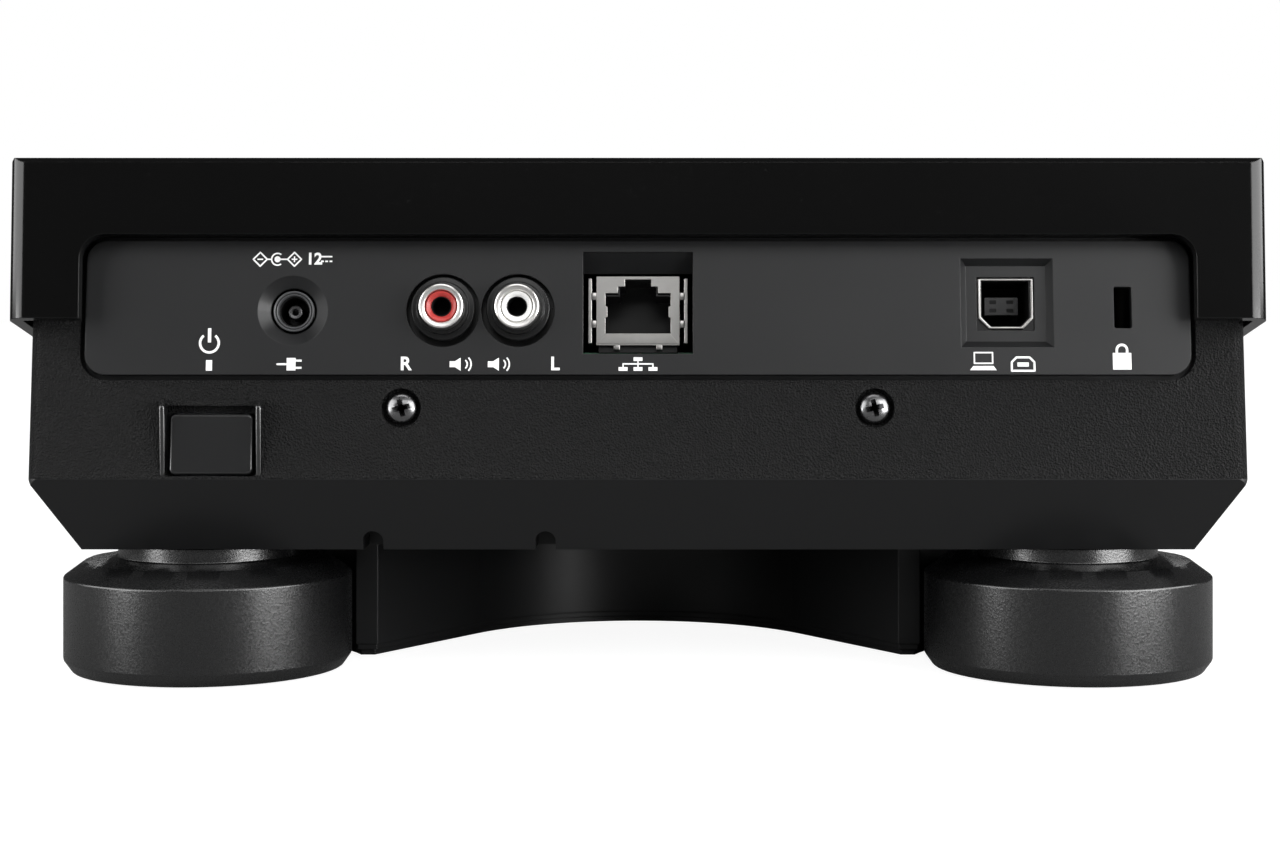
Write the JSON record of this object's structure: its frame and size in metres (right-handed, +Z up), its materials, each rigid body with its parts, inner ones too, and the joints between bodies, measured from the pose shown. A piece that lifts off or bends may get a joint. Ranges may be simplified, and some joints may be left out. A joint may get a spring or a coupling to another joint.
{
  "type": "tabletop dj disc player",
  "caption": "Sloped tabletop deck with slot disc drive, jog wheel, screen, tempo fader, keys, round rear feet and a rear panel of power, audio, network and computer sockets.",
  "frame": {"origin": "centre of the footprint on the table", "axes": "+X to the user's right, +Y from the user to the connector panel, +Z up; the deck's plane falls 3 degrees towards -Y"},
  "size_m": [0.2098, 0.308, 0.0968],
  "materials": {
    "shell_gloss": "polished black",
    "face_satin": "satin dark grey",
    "chassis_grain": "fine leather grain, black",
    "pan_satin": "satin black",
    "foot_satin": "satin grained black",
    "rubber": "matt black",
    "panel_satin": "satin dark grey",
    "socket_black": "black",
    "nickel": "nickel plated",
    "red_plastic": "red",
    "white_plastic": "white",
    "screw_steel": "black zinc",
    "lens": "tinted lens",
    "display": "dark display",
    "board": "green circuit board",
    "sheet_steel": "zinc plated",
    "rod_steel": "ground steel",
    "brass": "turned",
    "key_satin": "satin grey",
    "button_metal": "spun",
    "jog_black": "satin black",
    "jog_metal": "brushed",
    "knob_black": "satin black",
    "light_guide": "clear light guide",
    "inner_plastic": "moulded inner part"
  },
  "bodies": {
    "case": {"top_shell": "shell_gloss", "faceplate": "face_satin", "lower_chassis": "chassis_grain", "base_pan": "pan_satin", "front_foot": "pan_satin", "rear_feet": "foot_satin", "foot_pads": "rubber", "front_bezel": "socket_black", "slot_light": "light_guide", "rear_panel": "panel_satin", "panel_switches": "inner_plastic", "dc_inlet": "socket_black", "audio_housing": "socket_black", "audio_rings": "nickel", "audio_insert_red": "red_plastic", "audio_insert_white": "white_plastic", "network_socket": "nickel", "network_insert": "socket_black", "computer_socket": "nickel", "socket_board": "board", "case_screws": "screw_steel", "screen_lens": "lens", "display_module": "display", "memory_port": "nickel", "control_board": "board", "fader_unit": "sheet_steel", "selector_encoder": "sheet_steel", "jog_bearing": "inner_plastic", "drive_chassis": "sheet_steel", "spindle_motor": "sheet_steel", "guide_rods": "rod_steel", "sled_motor": "sheet_steel", "main_board": "board"},
    "jog": {"jog_wheel": "jog_black", "jog_shaft": "rod_steel", "encoder_disc": "inner_plastic"},
    "jog_plate": {"jog_plate": "jog_metal"},
    "tempo_slider": {"tempo_slider": "knob_black"},
    "selector_shaft": {"selector_shaft": "rod_steel"},
    "selector_knob": {"selector_knob": "knob_black"},
    "spindle_hub": {"spindle_hub": "inner_plastic"},
    "feed_roller": {"feed_roller": "rubber"},
    "lead_screw": {"lead_screw": "brass"},
    "pickup_sled": {"pickup_sled": "inner_plastic"},
    "power_button": {"power_button": "foot_satin"},
    "eject_button": {"eject_button": "key_satin"},
    "source_key": {"source_key": "key_satin"},
    "back_key": {"back_key": "key_satin"},
    "menu_key": {"menu_key": "key_satin"},
    "tag_key": {"tag_key": "key_satin"},
    "loop_in_key": {"loop_in_key": "key_satin"},
    "loop_out_key": {"loop_out_key": "key_satin"},
    "reloop_key": {"reloop_key": "key_satin"},
    "track_back_key": {"track_back_key": "key_satin"},
    "track_next_key": {"track_next_key": "key_satin"},
    "cue_button": {"cue_button": "button_metal"},
    "play_button": {"play_button": "button_metal"},
    "sync_key": {"sync_key": "key_satin"},
    "tempo_range_key": {"tempo_range_key": "key_satin"},
    "tempo_lock_key": {"tempo_lock_key": "key_satin"}
  },
  "joints": [
    {"name": "jog_spin", "type": "hinge", "parent": "case", "child": "jog", "pos_m": [0, -0.04515, 0.07824], "axis": [0, -0.0523, 0.9986], "continuous": true},
    {"name": "jog_plate_press", "type": "slide", "parent": "jog", "child": "jog_plate", "axis": [0, 0.0523, -0.9986], "range_m": [0, 0.0004], "stiffness_N_per_m": 2000, "springref_m": -0.001},
    {"name": "tempo_slide", "type": "slide", "parent": "case", "child": "tempo_slider", "axis": [0, -0.9986, -0.0523], "range_m": [-0.04, 0.04]},
    {"name": "selector_push", "type": "slide", "parent": "case", "child": "selector_shaft", "axis": [0, 0.0523, -0.9986], "range_m": [0, 0.0006], "stiffness_N_per_m": 600, "springref_m": -0.002},
    {"name": "selector_turn", "type": "hinge", "parent": "selector_shaft", "child": "selector_knob", "pos_m": [0.0845, 0.0627, 0.08389], "axis": [0, -0.0523, 0.9986], "continuous": true},
    {"name": "spindle_turn", "type": "hinge", "parent": "case", "child": "spindle_hub", "pos_m": [0, -0.07537, 0.036], "axis": [0, 0, 1], "continuous": true},
    {"name": "feed_turn", "type": "hinge", "parent": "case", "child": "feed_roller", "pos_m": [0, -0.13237, 0.0365], "axis": [1, 0, 0], "continuous": true},
    {"name": "lead_screw_turn", "type": "hinge", "parent": "case", "child": "lead_screw", "pos_m": [0.029, -0.03, 0.0348], "axis": [0, 1, 0], "range_deg": [0, 4081]},
    {"name": "sled_slide", "type": "slide", "parent": "case", "child": "pickup_sled", "axis": [0, 1, 0], "range_m": [0, 0.034]},
    {"name": "power_press", "type": "slide", "parent": "case", "child": "power_button", "axis": [0, -0.9945, -0.1045], "range_m": [0, 0.002], "stiffness_N_per_m": 400, "springref_m": -0.002},
    {"name": "eject_press", "type": "slide", "parent": "case", "child": "eject_button", "axis": [0, 1, 0], "range_m": [0, 0.0009], "stiffness_N_per_m": 300, "springref_m": -0.002},
    {"name": "source_press", "type": "slide", "parent": "case", "child": "source_key", "axis": [0, 0.0523, -0.9986], "range_m": [0, 0.0008], "stiffness_N_per_m": 300, "springref_m": -0.002},
    {"name": "back_press", "type": "slide", "parent": "case", "child": "back_key", "axis": [0, 0.0523, -0.9986], "range_m": [0, 0.0008], "stiffness_N_per_m": 300, "springref_m": -0.002},
    {"name": "menu_press", "type": "slide", "parent": "case", "child": "menu_key", "axis": [0, 0.0523, -0.9986], "range_m": [0, 0.0008], "stiffness_N_per_m": 300, "springref_m": -0.002},
    {"name": "tag_press", "type": "slide", "parent": "case", "child": "tag_key", "axis": [0, 0.0523, -0.9986], "range_m": [0, 0.0008], "stiffness_N_per_m": 300, "springref_m": -0.002},
    {"name": "loop_in_press", "type": "slide", "parent": "case", "child": "loop_in_key", "axis": [0, 0.0523, -0.9986], "range_m": [0, 0.0008], "stiffness_N_per_m": 300, "springref_m": -0.002},
    {"name": "loop_out_press", "type": "slide", "parent": "case", "child": "loop_out_key", "axis": [0, 0.0523, -0.9986], "range_m": [0, 0.0008], "stiffness_N_per_m": 300, "springref_m": -0.002},
    {"name": "reloop_press", "type": "slide", "parent": "case", "child": "reloop_key", "axis": [0, 0.0523, -0.9986], "range_m": [0, 0.0008], "stiffness_N_per_m": 300, "springref_m": -0.002},
    {"name": "track_back_press", "type": "slide", "parent": "case", "child": "track_back_key", "axis": [0, 0.0523, -0.9986], "range_m": [0, 0.0008], "stiffness_N_per_m": 300, "springref_m": -0.002},
    {"name": "track_next_press", "type": "slide", "parent": "case", "child": "track_next_key", "axis": [0, 0.0523, -0.9986], "range_m": [0, 0.0008], "stiffness_N_per_m": 300, "springref_m": -0.002},
    {"name": "cue_press", "type": "slide", "parent": "case", "child": "cue_button", "axis": [0, 0.0523, -0.9986], "range_m": [0, 0.0008], "stiffness_N_per_m": 300, "springref_m": -0.002},
    {"name": "play_press", "type": "slide", "parent": "case", "child": "play_button", "axis": [0, 0.0523, -0.9986], "range_m": [0, 0.0008], "stiffness_N_per_m": 300, "springref_m": -0.002},
    {"name": "sync_press", "type": "slide", "parent": "case", "child": "sync_key", "axis": [0, 0.0523, -0.9986], "range_m": [0, 0.0008], "stiffness_N_per_m": 300, "springref_m": -0.002},
    {"name": "tempo_range_press", "type": "slide", "parent": "case", "child": "tempo_range_key", "axis": [0, 0.0523, -0.9986], "range_m": [0, 0.0008], "stiffness_N_per_m": 300, "springref_m": -0.002},
    {"name": "tempo_lock_press", "type": "slide", "parent": "case", "child": "tempo_lock_key", "axis": [0, 0.0523, -0.9986], "range_m": [0, 0.0008], "stiffness_N_per_m": 300, "springref_m": -0.002}
  ],
  "couplings": [
    {"joint": "lead_screw_turn", "follows": "sled_slide", "rad_per_m": 2094.4}
  ]
}
